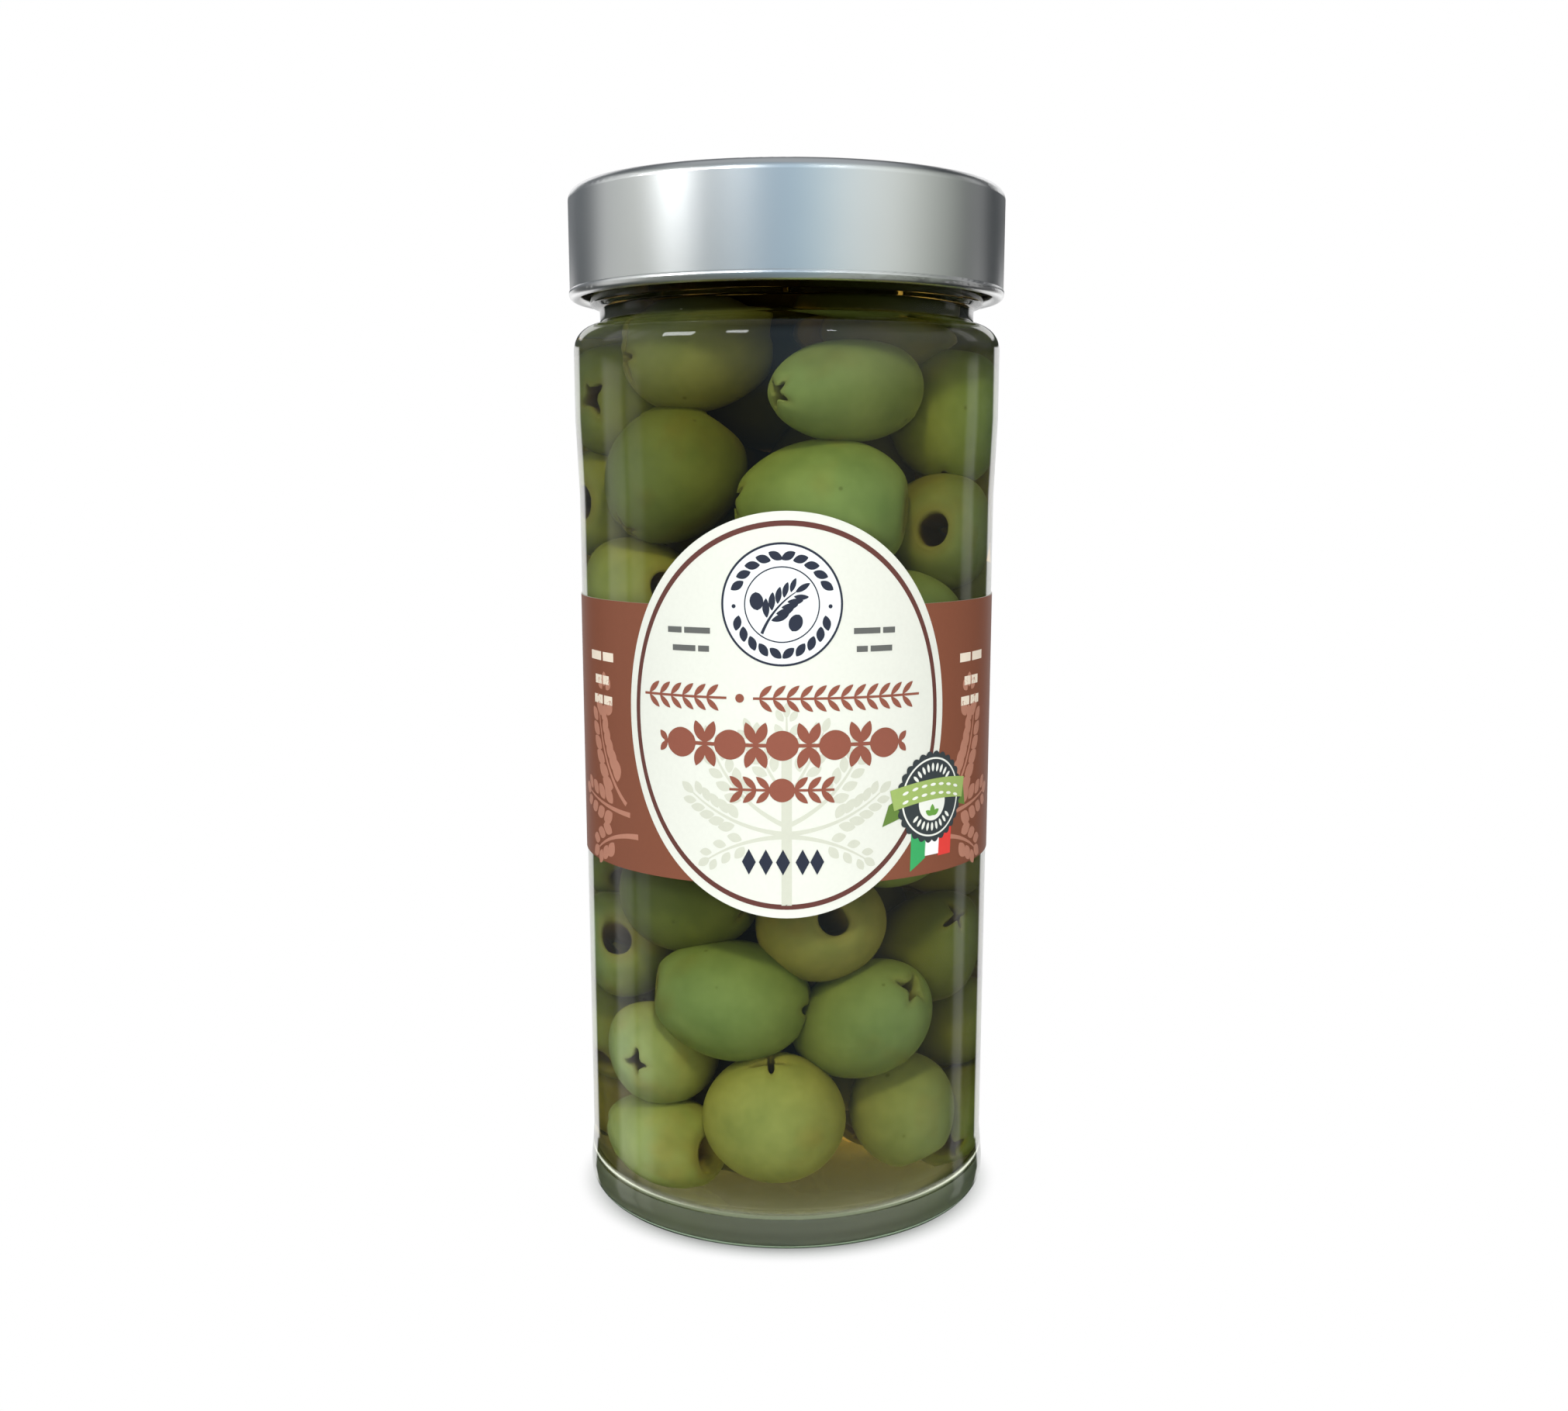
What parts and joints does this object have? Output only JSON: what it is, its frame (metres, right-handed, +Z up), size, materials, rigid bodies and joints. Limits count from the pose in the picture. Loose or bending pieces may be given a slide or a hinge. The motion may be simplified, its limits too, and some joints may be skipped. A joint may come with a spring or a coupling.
{
  "type": "jar of pitted green olives",
  "caption": "Tall round glass jar of pitted green olives in brine, with a deep silver twist-off cap and a wrapped label that has an oval front panel.",
  "frame": {"origin": "centre of the underside, in the plane that the jar stands on", "axes": "+Z up along the jar's axis, front of the label towards -Y"},
  "size_m": [0.075, 0.075, 0.178],
  "materials": {
    "flint_glass": "gloss",
    "olives_and_brine": "satin",
    "tinplate": "satin",
    "label_paper": "satin"
  },
  "bodies": {
    "root": {"glass_jar": "flint_glass", "olives_in_brine": "olives_and_brine", "twist_off_cap": "tinplate", "label": "label_paper"}
  },
  "joints": []
}
